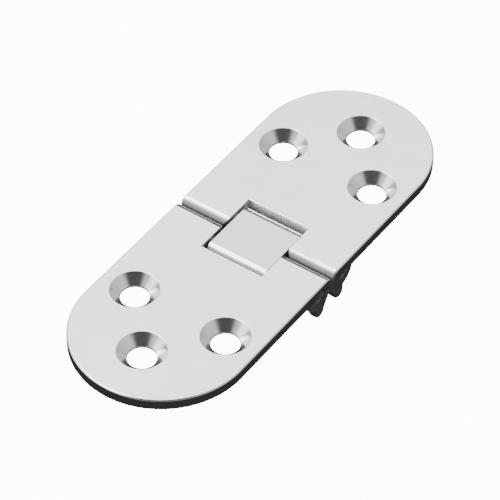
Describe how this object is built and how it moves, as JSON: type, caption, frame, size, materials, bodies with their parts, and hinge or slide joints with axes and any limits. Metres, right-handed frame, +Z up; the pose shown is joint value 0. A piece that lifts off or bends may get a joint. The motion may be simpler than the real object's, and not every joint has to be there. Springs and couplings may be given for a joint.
{
  "type": "flush flap hinge",
  "caption": "Flush flap hinge: two round-ended plates joined by a centre link on two hidden pins, folding from flat to face to face.",
  "frame": {"origin": "below the middle of the fold line, level with the tips of the stop fingers, which are the lowest points of the open hinge", "axes": "+X along the hinge from the fold line to the fixed leaf, +Y along the pins, +Z up out of the leaves' top faces"},
  "size_m": [0.08, 0.03, 0.0074],
  "materials": {
    "leaf_chrome": "bright nickel-chrome plate on die-cast zinc",
    "link_chrome": "bright nickel-chrome plate on die-cast zinc",
    "pin_steel": "drawn steel wire, cut and chamfered"
  },
  "bodies": {
    "fixed_leaf": {"fixed_leaf": "leaf_chrome", "fixed_leaf_pin": "pin_steel"},
    "link": {"centre_link": "link_chrome"},
    "flap_leaf": {"flap_leaf": "leaf_chrome", "flap_leaf_pin": "pin_steel"}
  },
  "joints": [
    {"name": "link_fold", "type": "hinge", "parent": "fixed_leaf", "child": "link", "pos_m": [0.0033, 0, 0.0053], "axis": [0, 1, 0], "range_deg": [0, 90]},
    {"name": "flap_fold", "type": "hinge", "parent": "link", "child": "flap_leaf", "pos_m": [-0.0033, 0, 0.0053], "axis": [0, 1, 0], "range_deg": [0, 90]}
  ]
}
